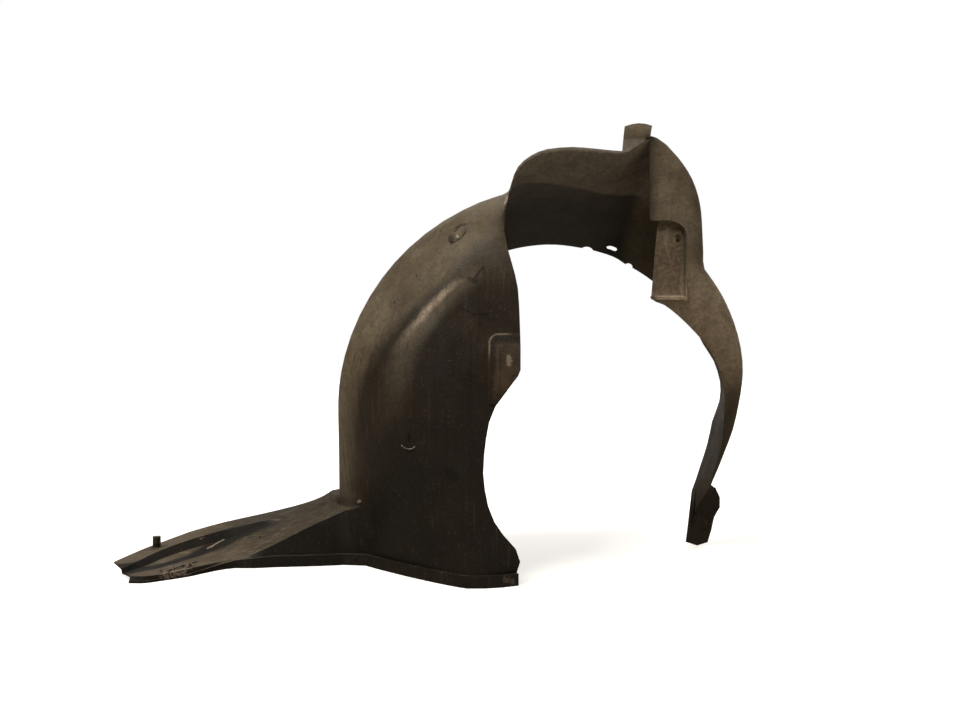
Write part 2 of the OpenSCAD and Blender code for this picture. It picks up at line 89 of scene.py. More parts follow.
def grain_group():
    group = bpy.data.node_groups.new("moulded_grain", "ShaderNodeTree")
    face = group.interface
    face.new_socket("Vector", in_out="INPUT", socket_type="NodeSocketVector")
    face.new_socket("Grain size", in_out="INPUT", socket_type="NodeSocketFloat")
    face.new_socket("Height", in_out="OUTPUT", socket_type="NodeSocketFloat")
    nodes, links = group.nodes, group.links
    start, end = nodes.new("NodeGroupInput"), nodes.new("NodeGroupOutput")
    cells = nodes.new("ShaderNodeTexVoronoi")
    cells.feature = "SMOOTH_F1"
    fine = nodes.new("ShaderNodeTexNoise")
    fine.inputs["Scale"].default_value = FINE_MARKS
    fine.inputs["Detail"].default_value = 5
    flow = nodes.new("ShaderNodeTexNoise")
    flow.inputs["Scale"].default_value = FLOW_MARKS
    flow.inputs["Detail"].default_value = 2
    links.new(start.outputs["Vector"], cells.inputs["Vector"])
    links.new(start.outputs["Vector"], fine.inputs["Vector"])
    links.new(start.outputs["Vector"], flow.inputs["Vector"])
    links.new(start.outputs["Grain size"], cells.inputs["Scale"])
    with_cells = nodes.new("ShaderNodeMath")
    with_cells.operation = "MULTIPLY_ADD"
    with_cells.inputs[1].default_value = CELL_SHARE
    links.new(cells.outputs["Distance"], with_cells.inputs[0])
    links.new(fine.outputs["Fac"], with_cells.inputs[2])
    with_flow = nodes.new("ShaderNodeMath")
    with_flow.operation = "MULTIPLY_ADD"
    with_flow.inputs[1].default_value = FLOW_SHARE
    links.new(flow.outputs["Fac"], with_flow.inputs[0])
    links.new(with_cells.outputs[0], with_flow.inputs[2])
    links.new(with_flow.outputs[0], end.inputs["Height"])
    return group


grain = grain_group()


# The finishes: the used plastic, its torn edges and the dried mud are each mixed from layers.
# This makes and joins one finish's nodes, and each piece's own section sets its values.
class Finish:
    def __init__(self, material):
        material.use_nodes = True
        self.nodes, self.links = material.node_tree.nodes, material.node_tree.links
        self.shader = self.nodes["Principled BSDF"]

    def make(self, kind, **values):
        node = self.nodes.new(kind)
        for key, value in values.items():
            setattr(node, key, value)
        return node

    def feed(self, source, target):
        if isinstance(source, (int, float, tuple)):
            target.default_value = source
        else:
            self.links.new(source, target)

    def math(self, operation, a, b=0.0, clamp=False):
        node = self.make("ShaderNodeMath", operation=operation, use_clamp=clamp)
        self.feed(a, node.inputs[0])
        self.feed(b, node.inputs[1])
        return node.outputs[0]

    def both(self, *masks):
        product = masks[0]
        for mask in masks[1:]:
            product = self.math("MULTIPLY", product, mask)
        return product

    def most(self, *masks):
        largest = masks[0]
        for mask in masks[1:]:
            largest = self.math("MAXIMUM", largest, mask)
        return largest

    def noise(self, vector, scale, detail=4.0, rough=0.55, distort=0.0):
        node = self.make("ShaderNodeTexNoise")
        self.feed(vector, node.inputs["Vector"])
        node.inputs["Scale"].default_value = scale
        node.inputs["Detail"].default_value = detail
        node.inputs["Roughness"].default_value = rough
        node.inputs["Distortion"].default_value = distort
        return node.outputs["Fac"]

    def ramp(self, value, low, high, to_low=0.0, to_high=1.0):
        node = self.make("ShaderNodeMapRange", interpolation_type="SMOOTHSTEP")
        self.feed(value, node.inputs["Value"])
        node.inputs["From Min"].default_value = low
        node.inputs["From Max"].default_value = high
        node.inputs["To Min"].default_value = to_low
        node.inputs["To Max"].default_value = to_high
        return node.outputs["Result"]

    def blend(self, dust_and_light_amount, a, b):
        node = self.make("ShaderNodeMix", data_type="RGBA")
        self.feed(dust_and_light_amount, node.inputs["Factor"])
        self.feed(a, node.inputs["A"])
        self.feed(b, node.inputs["B"])
        return node.outputs["Result"]

    def stretch(self, vector, scale, turn=(0, 0, 0)):
        node = self.make("ShaderNodeMapping")
        self.feed(vector, node.inputs["Vector"])
        node.inputs["Scale"].default_value = scale
        node.inputs["Rotation"].default_value = turn
        return node.outputs["Vector"]

    def bump(self, height, strength, distance, under=None):
        node = self.make("ShaderNodeBump")
        node.inputs["Strength"].default_value = strength
        node.inputs["Distance"].default_value = distance
        self.links.new(height, node.inputs["Height"])
        if under is not None:
            self.links.new(under, node.inputs["Normal"])
        return node.outputs["Normal"]


# A mark along a straight line, with a ragged edge: scratches, rubs and creases in the sheet, and
# also painted highlights and painted shade. Long lines and short scrapes are all made with it. The
# mark is clear of colour at MARK_CLEAR widths from its line and full at MARK_FULL.
MARK_CLEAR = 1.25
MARK_FULL = 0.45


def line_group():
    group = bpy.data.node_groups.new("line_mark", "ShaderNodeTree")
    face = group.interface
    for name in ("Vector", "From", "To"):
        face.new_socket(name, in_out="INPUT", socket_type="NodeSocketVector")
    for name in ("Width", "Ragged", "Ragged size"):
        face.new_socket(name, in_out="INPUT", socket_type="NodeSocketFloat")
    face.new_socket("Mark", in_out="OUTPUT", socket_type="NodeSocketFloat")
    nodes, links = group.nodes, group.links
    start, end = nodes.new("NodeGroupInput"), nodes.new("NodeGroupOutput")

    def vector(operation, first, second):
        node = nodes.new("ShaderNodeVectorMath")
        node.operation = operation
        links.new(first, node.inputs[0])
        links.new(second, node.inputs["Scale"] if operation == "SCALE" else node.inputs[1])
        return node.outputs["Value" if operation in ("DOT_PRODUCT", "LENGTH") else "Vector"]

    def plain(operation, first, second, clamp=False):
        node = nodes.new("ShaderNodeMath")
        node.operation, node.use_clamp = operation, clamp
        links.new(first, node.inputs[0])
        if isinstance(second, float):
            node.inputs[1].default_value = second
        else:
            links.new(second, node.inputs[1])
        return node.outputs[0]

    from_start = vector("SUBTRACT", start.outputs["Vector"], start.outputs["From"])
    run = vector("SUBTRACT", start.outputs["To"], start.outputs["From"])
    run_squared = vector("DOT_PRODUCT", run, run)
    share = plain("DIVIDE", vector("DOT_PRODUCT", from_start, run), run_squared, True)
    off = vector("SUBTRACT", from_start, vector("SCALE", run, share))
    length = nodes.new("ShaderNodeVectorMath")
    length.operation = "LENGTH"
    links.new(off, length.inputs[0])
    wild = nodes.new("ShaderNodeTexNoise")
    wild.inputs["Detail"].default_value = 5
    links.new(start.outputs["Vector"], wild.inputs["Vector"])
    links.new(start.outputs["Ragged size"], wild.inputs["Scale"])
    centred = plain("SUBTRACT", wild.outputs["Fac"], 0.5)
    reach = plain("DIVIDE", length.outputs["Value"], start.outputs["Width"])
    reach = plain("ADD", reach, plain("MULTIPLY", centred, start.outputs["Ragged"]))
    fade = nodes.new("ShaderNodeMapRange")
    fade.interpolation_type = "SMOOTHSTEP"
    fade.inputs["From Min"].default_value = MARK_CLEAR
    fade.inputs["From Max"].default_value = MARK_FULL
    links.new(reach, fade.inputs["Value"])
    links.new(fade.outputs["Result"], end.inputs["Mark"])
    return group


line_mark = line_group()


def line(finish, vector, start, end, width, ragged, size):
    node = finish.make("ShaderNodeGroup", node_tree=line_mark)
    finish.links.new(vector, node.inputs["Vector"])
    node.inputs["From"].default_value = start
    node.inputs["To"].default_value = end
    node.inputs["Width"].default_value = width
    node.inputs["Ragged"].default_value = ragged
    node.inputs["Ragged size"].default_value = size
    return node.outputs["Mark"]


# The plastic itself: black stock gone brown with road dust, with painted light and painted shade
# mixed into its colour. The rear strip, the tab, the high side of the raised top and the shelf are
# dusty, and the wall that the tyre threw water at is nearly bare. Places run across from front to
# rear, out towards the wing, and up.
plastic = bpy.data.materials.new("liner_plastic")
sheet = Finish(plastic)
where = sheet.make("ShaderNodeTexCoord").outputs["Object"]
surface = sheet.make("ShaderNodeNewGeometry")
place = sheet.make("ShaderNodeSeparateXYZ")
sheet.links.new(where, place.inputs[0])
across, out, up = place.outputs
facing = sheet.make("ShaderNodeSeparateXYZ")
sheet.links.new(surface.outputs["Normal"], facing.inputs[0])
face_x, face_y, face_z = facing.outputs

# The stain colour also paints shade, and the dust and scrape colours also paint sheen, light and
# highlights
STOCK = (0.0150, 0.0108, 0.0070, 1)
STOCK_BROWN = (0.0240, 0.0165, 0.0105, 1)
DUST_AND_SHEEN = (0.150, 0.122, 0.082, 1)
DUST_BROWN = (0.108, 0.082, 0.052, 1)
DUST_PALE_AND_HIGHLIGHT = (0.350, 0.280, 0.200, 1)
DUST_GREY_AND_LIGHT = (0.230, 0.205, 0.175, 1)
SCRAPE_AND_HIGHLIGHT = (0.34, 0.275, 0.21, 1)
STAIN_AND_SHADE = (0.0035, 0.0030, 0.0022, 1)
WORN_BROWN = (0.070, 0.044, 0.027, 1)
PAD_BROWN = (0.090, 0.060, 0.038, 1)
TORN_WHITE = (0.34, 0.26, 0.22, 1)

clouds = sheet.noise(where, 6.5, 6, 0.6, 0.4)
mottle = sheet.noise(where, 34, 6, 0.62, 0.6)
fine = sheet.noise(where, 150, 5, 0.7)
specks = sheet.noise(where, 260, 4, 0.75)
colour = sheet.blend(sheet.ramp(clouds, 0.38, 0.66), STOCK, STOCK_BROWN)
reddish = sheet.both(
    sheet.ramp(sheet.noise(where, 15, 5, 0.6), 0.5, 0.72), sheet.ramp(mottle, 0.35, 0.65, 0.1, 0.3),
)
colour = sheet.blend(reddish, colour, WORN_BROWN)


def curve(value, points):
    """A smooth curve through points, of a place along the object to a place or a strength."""
    lows = [min(point[k] for point in points) for k in (0, 1)]
    highs = [max(point[k] for point in points) for k in (0, 1)]
    share = sheet.make("ShaderNodeMapRange")
    sheet.feed(value, share.inputs["Value"])
    share.inputs["From Min"].default_value = lows[0]
    share.inputs["From Max"].default_value = highs[0]
    node = sheet.make("ShaderNodeFloatCurve")
    sheet.links.new(share.outputs["Result"], node.inputs["Value"])
    knots = node.mapping.curves[0].points
    scaled = [
        ((x - lows[0]) / (highs[0] - lows[0]), (y - lows[1]) / (highs[1] - lows[1]))
        for x, y in points
    ]
    for x, y in scaled[1:-1]:
        knots.new(x, y)
    knots[0].location, knots[-1].location = scaled[0], scaled[-1]
    node.mapping.update()
    back = sheet.make("ShaderNodeMapRange")
    sheet.links.new(node.outputs["Value"], back.inputs["Value"])
    back.inputs["To Min"].default_value = lows[1]
    back.inputs["To Max"].default_value = highs[1]
    return back.outputs["Result"]


def beside(value, middle, width, inner=0.3):
    """1 on a line, falling to 0 at its width."""
    off = sheet.math("ABSOLUTE", sheet.math("SUBTRACT", value, middle))
    return sheet.ramp(sheet.math("DIVIDE", off, width), 1.0, inner)


# Where the dust lies: on the outer side of the shoulder, down the rear strip, on what faces up,
# and inside the raised top along its near edge. Painted light is mixed in: a painted sheen on the
# outer side and high on the wall, a painted broad highlight over the top, and painted light inside
# the raised top along its near edge
limit = curve(up, [
    (0.08, -0.164), (0.19, -0.161), (0.305, -0.147), (0.39, -0.108), (0.44, -0.072),
    (0.48, -0.025), (0.52, 0.030), (0.57, 0.075), (0.62, 0.120),
])
wander = sheet.math("MULTIPLY", sheet.math("SUBTRACT", clouds, 0.5), 0.05)
beyond = sheet.math("ADD", sheet.math("SUBTRACT", across, limit), wander)
# Dust and a painted sheen on the outer side of the shoulder
outer_dust_and_sheen = sheet.both(
    sheet.ramp(beyond, 0.026, -0.018), sheet.ramp(face_x, 0.1, -0.12),
    sheet.ramp(across, 0.13, 0.09), sheet.ramp(up, 0.09, 0.2, 0.25, 0.82),
)
strip_high = sheet.both(sheet.ramp(across, 0.35, 0.378), sheet.ramp(up, 0.26, 0.38, 0.0, 0.85))
strip_low = sheet.both(sheet.ramp(across, 0.35, 0.378), sheet.ramp(up, 0.14, 0.34, 0.12, 0.36))
tab = sheet.both(sheet.ramp(up, 0.744, 0.752), sheet.ramp(out, -0.085, -0.105, 0.0, 0.72))
far_end = sheet.ramp(across, -0.50, -0.20, 1.0, 0.3)
far_rim = sheet.both(sheet.ramp(out, 0.05, 0.09), sheet.ramp(across, -0.50, -0.36, 0.0, 0.45))
lying = sheet.both(
    sheet.ramp(face_z, 0.2, 0.75), far_end, 0.54, sheet.math("SUBTRACT", 1.0, far_rim),
)
peg_side = sheet.both(sheet.ramp(across, -0.52, -0.53), sheet.ramp(up, 0.028, 0.031), 0.75)
behind = sheet.both(sheet.ramp(face_y, 0.2, 0.7), sheet.ramp(across, 0.16, 0.12), 0.3)
# Dust and a painted broad highlight over the top
top_dust_and_highlight = sheet.both(sheet.ramp(face_z, 0.1, 0.45), sheet.ramp(up, 0.45, 0.60), 0.62)
edge_slope, edge_start = -0.36, 0.055
edge_run = sheet.make("ShaderNodeMath", operation="MULTIPLY_ADD")
sheet.links.new(across, edge_run.inputs[0])
edge_run.inputs[1].default_value = edge_slope
edge_run.inputs[2].default_value = edge_start
from_edge = sheet.math(
    "ADD", sheet.math("ADD", out, edge_run.outputs[0]), sheet.math("MULTIPLY", wander, 0.3),
)
hollow_or_tab = sheet.most(sheet.ramp(face_z, -0.05, -0.25), sheet.ramp(across, 0.352, 0.346))
under_top = sheet.both(sheet.ramp(up, 0.60, 0.66), sheet.ramp(across, 0.08, 0.13), hollow_or_tab)
near_band = sheet.math("MULTIPLY", sheet.ramp(from_edge, -0.048, -0.062), 0.88)
middle_band = sheet.math("MULTIPLY", sheet.ramp(from_edge, 0.0, -0.03), 0.12)
# Dust and painted light inside the raised top, strongest along its near edge
top_inside_dust_and_light = sheet.both(under_top, sheet.most(near_band, middle_band))
# Dust and a painted sheen high on the wall
wall_top_dust_and_sheen = sheet.both(
    sheet.ramp(up, 0.46, 0.58), sheet.ramp(across, 0.15, 0.1, 0.0, 0.34),
    sheet.ramp(out, -0.09, -0.12),
)
# All the dust, with the painted sheen, highlight and light in it
dust_and_light_amount = sheet.most(
    outer_dust_and_sheen, strip_high, strip_low, tab, lying, peg_side, behind, top_dust_and_highlight, top_inside_dust_and_light, wall_top_dust_and_sheen,
)
patches = sheet.both(
    sheet.ramp(mottle, 0.3, 0.68, 0.7, 1.12), sheet.ramp(fine, 0.3, 0.7, 0.72, 1.2),
)
dust_and_light_amount = sheet.math("MULTIPLY", dust_and_light_amount, patches, clamp=True)

# The shelf's groove and steep sides are painted shade and bare of dust, a bare valley of painted
# shade runs beside the ridge, the foot of the wall and the far part of the shelf are darker, and
# the rear corner has painted shade
groove_line = curve(across, [
    (-0.56, -0.130), (-0.512, -0.060), (-0.486, 0.002), (-0.455, 0.050), (-0.412, 0.072),
    (-0.357, 0.080), (-0.300, 0.088),
])
groove_width = sheet.ramp(across, -0.50, -0.36, 0.046, 0.018)
low_down = sheet.both(sheet.ramp(up, 0.110, 0.085), sheet.ramp(across, -0.30, -0.34))
# Painted shade down the shelf's groove, where no dust is laid
groove_shade = sheet.both(
    beside(sheet.math("ADD", out, wander), groove_line, groove_width, 0.35), low_down,
)
front_side = sheet.both(
    sheet.ramp(face_x, 0.05, -0.1), sheet.ramp(across, 0.10, 0.06), sheet.ramp(up, 0.11, 0.14),
)
# Painted shade along the valley beside the ridge, strongest low down
valley_line = curve(
    up, [(0.10, -0.134), (0.305, -0.122), (0.39, -0.100), (0.44, -0.075), (0.49, -0.038)],
)
valley_shade_strength = sheet.ramp(up, 0.32, 0.46, 0.95, 0.05)
valley_shade = sheet.both(beside(across, valley_line, 0.022), front_side, valley_shade_strength)
# The painted shade of the groove and the valley, where no dust is laid
painted_shade_bare = sheet.most(groove_shade, valley_shade)
dust_and_light_amount = sheet.both(dust_and_light_amount, sheet.math("SUBTRACT", 1.0, painted_shade_bare))
tint = sheet.blend(sheet.ramp(sheet.noise(where, 11, 4), 0.4, 0.62), DUST_AND_SHEEN, DUST_BROWN)
tint = sheet.blend(sheet.math("MULTIPLY", strip_high, sheet.ramp(up, 0.56, 0.46)), tint, DUST_PALE_AND_HIGHLIGHT)
tint = sheet.blend(
    sheet.math("MULTIPLY", top_inside_dust_and_light, sheet.ramp(up, 0.746, 0.738)), tint, DUST_GREY_AND_LIGHT,
)
colour = sheet.blend(dust_and_light_amount, colour, tint)
# Painted shade on the steep sides of the shelf
steep_shade = sheet.both(
    sheet.ramp(face_z, 0.8, 0.45), sheet.ramp(across, -0.125, -0.15), sheet.ramp(up, 0.13, 0.1),
)
# The shelf's painted shade, blended towards the stain and shade colour
shelf_shade = sheet.most(sheet.math("MULTIPLY", steep_shade, 0.85), groove_shade)
colour = sheet.blend(sheet.math("MULTIPLY", shelf_shade, 0.88), colour, STAIN_AND_SHADE)
wall_foot = sheet.both(
    sheet.ramp(up, 0.46, 0.12, 0.0, 0.6), sheet.ramp(beyond, 0.0, 0.05),
    sheet.ramp(across, 0.16, 0.13),
)
far_shelf = sheet.both(
    sheet.ramp(out, 0.015, 0.055), sheet.ramp(across, -0.48, -0.36),
    sheet.ramp(up, 0.14, 0.11, 0.0, 0.36),
)
# Painted shade in the rear corner, on the side face that turns to the main lamp, strongest low down
corner_shade = sheet.both(
    sheet.ramp(face_x, -0.3, -0.7), sheet.ramp(across, 0.33, 0.35),
    sheet.ramp(up, 0.70, 0.62, 0.0, 0.5),
)
colour = sheet.blend(sheet.most(wall_foot, corner_shade, far_shelf), colour, STAIN_AND_SHADE)

# The ridge has a broad painted highlight and a narrow, brighter painted highlight along its crest,
# most where it turns over the top
ridge_line = curve(up, [
    (0.24, -0.085), (0.305, -0.0824), (0.3476, -0.0780), (0.3895, -0.0665), (0.4146, -0.0500),
    (0.4361, -0.0308), (0.4608, -0.0105), (0.485, 0.0148), (0.506, 0.0397), (0.53, 0.062),
])
ridge_highlight_strength = curve(
    up, [(0.24, 0.0), (0.30, 0.15), (0.3895, 0.38), (0.44, 0.54), (0.49, 0.48), (0.53, 0.0)],
)
crest_highlight_strength = curve(
    up, [(0.38, 0.0), (0.42, 0.35), (0.445, 0.85), (0.475, 1.0), (0.492, 0.6), (0.51, 0.0)],
)
ridge_place = sheet.math(
    "ADD", across, sheet.math("MULTIPLY", sheet.math("SUBTRACT", mottle, 0.5), 0.016),
)
right_of_crest = sheet.math("ADD", ridge_place, -0.012)
ridge_highlight = sheet.both(beside(right_of_crest, ridge_line, 0.0380, 0.0), front_side, ridge_highlight_strength)
crest_highlight = sheet.both(beside(ridge_place, ridge_line, 0.0150, 0.0), front_side, crest_highlight_strength)
ridge_highlight = sheet.both(ridge_highlight, sheet.ramp(fine, 0.3, 0.7, 0.6, 1.15))
crest_highlight = sheet.both(crest_highlight, sheet.ramp(fine, 0.34, 0.6, 0.35, 1.0))
colour = sheet.blend(ridge_highlight, colour, DUST_AND_SHEEN)
colour = sheet.blend(crest_highlight, colour, SCRAPE_AND_HIGHLIGHT)

# The raised pad on the wall's edge is brown where its clip rubbed, with a painted highlight on its
# rim and painted shade just inside it
pad_place = sheet.both(
    sheet.ramp(across, 0.083, 0.096), sheet.ramp(up, 0.425, 0.410), sheet.ramp(up, 0.300, 0.325),
)
pad_face = sheet.both(pad_place, sheet.ramp(out, -0.1565, -0.1595))
colour = sheet.blend(
    sheet.both(pad_face, sheet.ramp(mottle, 0.32, 0.66, 0.1, 0.5)), colour, PAD_BROWN,
)
pad_dark = sheet.both(pad_face, sheet.ramp(mottle, 0.54, 0.42), sheet.ramp(up, 0.368, 0.350), 0.6)
colour = sheet.blend(pad_dark, colour, STAIN_AND_SHADE)
pad_turn = sheet.make("ShaderNodeCombineXYZ")
sheet.links.new(
    sheet.math("MAXIMUM", sheet.math("SUBTRACT", 0.103, across), 0.0), pad_turn.inputs[0],
)
sheet.links.new(sheet.math("MAXIMUM", sheet.math("SUBTRACT", up, 0.3995), 0.0), pad_turn.inputs[1])
pad_reach = sheet.make("ShaderNodeVectorMath", operation="LENGTH")
sheet.links.new(pad_turn.outputs[0], pad_reach.inputs[0])
pad_reach = pad_reach.outputs["Value"]
near_pad = sheet.both(sheet.ramp(out, -0.150, -0.153), sheet.ramp(up, 0.30, 0.36))
# Painted highlight on the pad's rim, brightest at its upper left corner
pad_rim_highlight = sheet.both(
    beside(pad_reach, 0.0150, 0.0026, 0.1), near_pad, sheet.ramp(mottle, 0.35, 0.6, 0.12, 0.6),
    sheet.ramp(up, 0.365, 0.40, 0.05, 1.0), sheet.ramp(across, 0.13, 0.105, 0.1, 1.0),
)
colour = sheet.blend(pad_rim_highlight, colour, DUST_PALE_AND_HIGHLIGHT)
# Painted shade just inside the rim, on the left
pad_shade = sheet.both(beside(pad_reach, 0.0080, 0.0070, 0.0), near_pad, 0.55)
colour = sheet.blend(pad_shade, colour, STAIN_AND_SHADE)

# Grit sticks everywhere, more where the dust is, and dark pinholes show between it
grit = sheet.both(sheet.ramp(specks, 0.58, 0.70), sheet.ramp(mottle, 0.4, 0.7, 0.10, 0.5))
colour = sheet.blend(grit, colour, DUST_AND_SHEEN)
pits = sheet.both(sheet.ramp(specks, 0.44, 0.34), sheet.ramp(fine, 0.35, 0.6, 0.2, 0.55))
colour = sheet.blend(pits, colour, STAIN_AND_SHADE)

# Upright water runs on the wall, long thin marks down the ramp, and fine slanting scratches
runs = sheet.noise(sheet.stretch(where, (60, 60, 2.2)), 2.2, 5, 0.6, 0.2)
run_dark = sheet.both(
    sheet.ramp(runs, 0.44, 0.34), sheet.ramp(face_z, 0.3, 0.1), sheet.ramp(across, 0.16, 0.13),
)
colour = sheet.blend(sheet.math("MULTIPLY", run_dark, 0.45), colour, STAIN_AND_SHADE)
run_mark = sheet.both(
    sheet.ramp(runs, 0.58, 0.68), sheet.ramp(clouds, 0.40, 0.62), sheet.ramp(face_z, 0.3, 0.1),
)
colour = sheet.blend(sheet.math("MULTIPLY", run_mark, 0.16), colour, DUST_AND_SHEEN)
along_ramp = sheet.noise(sheet.stretch(where, (3, 90, 30), (0, 0.3, 0.12)), 6, 4, 0.6)
on_shelf = sheet.both(sheet.ramp(up, 0.15, 0.12), sheet.math("SUBTRACT", 1.0, shelf_shade))
ramp_mark = sheet.both(sheet.ramp(along_ramp, 0.54, 0.66), sheet.ramp(face_z, 0.5, 0.8), on_shelf)
colour = sheet.blend(sheet.math("MULTIPLY", ramp_mark, 0.26), colour, SCRAPE_AND_HIGHLIGHT)
ramp_dark = sheet.both(sheet.ramp(along_ramp, 0.46, 0.36), sheet.ramp(face_z, 0.5, 0.8), on_shelf)
colour = sheet.blend(sheet.math("MULTIPLY", ramp_dark, 0.35), colour, STAIN_AND_SHADE)
cuts = sheet.noise(sheet.stretch(where, (70, 70, 5), (0, 0.9, 0)), 9, 3, 0.5)
cut_mark = sheet.both(
    sheet.ramp(cuts, 0.70, 0.735), sheet.ramp(sheet.noise(where, 5, 2), 0.5, 0.62),
)
colour = sheet.blend(sheet.math("MULTIPLY", cut_mark, 0.12), colour, SCRAPE_AND_HIGHLIGHT)

# Single marks: dark splashes and dots, painted shade in and beside the clip seat, pale scrapes in
# the pads and on the shelf, and painted highlights on folds in the shelf's groove. Each has its two
# ends, its width, how ragged it is and how fine, and a pale one has its strength
DARK_STRENGTH = 0.7
dark_marks_and_shade = [
    ((0.0317, -0.1494, 0.1789), (0.024, -0.15, 0.187), 0.010, 2.2, 60),
    ((0.040, -0.1434, 0.458), (0.062, -0.148, 0.4475), 0.0022, 1.6, 120),
    ((0.062, -0.148, 0.4475), (0.0825, -0.1504, 0.447), 0.0024, 1.6, 120),
    ((0.062, -0.143, 0.505), (0.080, -0.148, 0.527), 0.0030, 2.4, 90),
    ((0.080, -0.148, 0.527), (0.098, -0.150, 0.530), 0.0016, 1.8, 120),
    ((0.052, -0.141, 0.506), (0.066, -0.145, 0.502), 0.0050, 2.6, 90),
    ((-0.0764, -0.0749, 0.4742), (-0.0755, -0.0749, 0.473), 0.0022, 0.6, 200),
    ((-0.0373, -0.0877, 0.5181), (-0.0365, -0.0877, 0.517), 0.0022, 0.6, 200),
    ((0.0049, -0.0703, 0.5977), (0.0062, -0.0703, 0.5965), 0.0026, 0.8, 150),
    ((-0.0455, -0.1287, 0.2480), (-0.0455, -0.1280, 0.2380), 0.0030, 0.8, 150),
    # Painted shade in and beside the clip seat
    ((0.0335, -0.0950, 0.5975), (0.0440, -0.0990, 0.6022), 0.0072, 2.0, 130),
    ((0.0205, -0.1000, 0.5830), (0.0250, -0.1110, 0.5720), 0.0066, 2.6, 110),
    ((0.4068, -0.1087, 0.5830), (0.4080, -0.1087, 0.5740), 0.0042, 1.4, 150),
    ((-0.0500, -0.1240, 0.2190), (-0.0360, -0.1300, 0.2200), 0.0022, 1.0, 120),
]
pale_marks_and_highlights = [
    ((0.1198, -0.1617, 0.3770), (0.1198, -0.1617, 0.3660), 0.0042, 3.6, 260, 0.42),
    ((0.3900, -0.1087, 0.5950), (0.3860, -0.1087, 0.5700), 0.0030, 3.4, 150, 0.36),
    ((0.3860, -0.1087, 0.5700), (0.3955, -0.1087, 0.5334), 0.0022, 3.4, 150, 0.26),
    ((0.3640, -0.1087, 0.4850), (0.4000, -0.1087, 0.4830), 0.0028, 3.0, 150, 0.3),
    ((0.1135, -0.1130, 0.6300), (0.1170, -0.0979, 0.6490), 0.0042, 2.6, 160, 0.9),
    ((0.1170, -0.0979, 0.6490), (0.1150, -0.0840, 0.6600), 0.0028, 2.4, 160, 0.8),
    ((-0.1435, -0.0195, 0.1200), (-0.1500, -0.0130, 0.1170), 0.0030, 1.0, 150, 0.5),
    # Painted highlights on folds in the shelf's groove
    ((-0.4668, 0.0809, 0.0308), (-0.4141, 0.1097, 0.0513), 0.0010, 0.8, 60, 0.5),
    ((-0.4463, 0.0660, 0.0167), (-0.4233, 0.0832, 0.0284), 0.0030, 2.2, 120, 0.6),
    ((0.1140, -0.1500, 0.0140), (0.1260, -0.1460, 0.0080), 0.0050, 4.0, 190, 0.16),
    ((0.0345, -0.1140, 0.5815), (0.0355, -0.1150, 0.5795), 0.0026, 1.8, 200, 1.0),
]
for first, last, width, ragged, size in dark_marks_and_shade:
    mark = line(sheet, where, first, last, width, ragged, size)
    colour = sheet.blend(sheet.math("MULTIPLY", mark, DARK_STRENGTH), colour, STAIN_AND_SHADE)
scrapes_and_highlights = sheet.most(ridge_highlight, crest_highlight)
for first, last, width, ragged, size, strength in pale_marks_and_highlights:
    mark = sheet.math("MULTIPLY", line(sheet, where, first, last, width, ragged, size), strength)
    colour = sheet.blend(mark, colour, SCRAPE_AND_HIGHLIGHT)
    scrapes_and_highlights = sheet.math("MAXIMUM", scrapes_and_highlights, mark)

# The sunk pad's floor is browner, with pale grit in it
DISH_FACE = -0.1087
in_dish = sheet.both(
    sheet.ramp(across, 0.364, 0.370), sheet.ramp(across, 0.416, 0.408),
    beside(out, DISH_FACE, 0.0025), sheet.ramp(up, 0.474, 0.486), sheet.ramp(up, 0.60, 0.54),
    sheet.ramp(mottle, 0.3, 0.6, 0.3, 0.75),
)
colour = sheet.blend(in_dish, colour, WORN_BROWN)
dish_grit = sheet.both(
    sheet.ramp(across, 0.362, 0.366), sheet.ramp(across, 0.418, 0.412),
    beside(out, DISH_FACE, 0.0025), sheet.ramp(up, 0.470, 0.480), sheet.ramp(up, 0.605, 0.600),
    sheet.ramp(fine, 0.46, 0.62),
)
colour = sheet.blend(sheet.math("MULTIPLY", dish_grit, 0.17), colour, SCRAPE_AND_HIGHLIGHT)

# Torn, whitened plastic round the tear in the shelf
torn = line(sheet, where, (-0.462, -0.101, 0.0065), (-0.436, -0.080, 0.0090), 0.010, 5.0, 150)
torn = sheet.math("MULTIPLY", torn, sheet.ramp(fine, 0.42, 0.56, 0.1, 0.95))
colour = sheet.blend(torn, colour, TORN_WHITE)
sheet.links.new(colour, sheet.shader.inputs["Base Color"])

# Bare plastic is half glossy, and dust, scrapes, the painted highlights and the shelf's painted
# shade are dull
dull = sheet.most(dust_and_light_amount, scrapes_and_highlights, torn, shelf_shade)
base_rough = sheet.ramp(sheet.noise(where, 24, 5, 0.6), 0.3, 0.7, 0.34, 0.48)
rough = sheet.math("ADD", base_rough, sheet.math("MULTIPLY", dull, 0.42), clamp=True)
sheet.links.new(rough, sheet.shader.inputs["Roughness"])
sheet.shader.inputs["Specular IOR Level"].default_value = 0.26

# Grain, flow marks and scrapes stand in the skin, with a soft press mark beside the clip seat
height = sheet.make("ShaderNodeGroup", node_tree=grain)
height.inputs["Grain size"].default_value = CELL_MARKS
sheet.links.new(where, height.inputs["Vector"])
relief = sheet.math("ADD", height.outputs["Height"], sheet.math("MULTIPLY", cut_mark, -0.8))
relief = sheet.math("ADD", relief, sheet.math("MULTIPLY", grit, 0.6))
press_mark = line(sheet, where, (0.054, -0.113, 0.596), (0.061, -0.116, 0.593), 0.015, 0.3, 40)
skin = sheet.bump(relief, 0.5, 0.0007)
skin = sheet.bump(sheet.math("MULTIPLY", press_mark, -1.0), 0.35, 0.004, skin)
sheet.links.new(skin, sheet.shader.inputs["Normal"])

liner.data.materials.clear()
liner.data.materials.append(plastic)


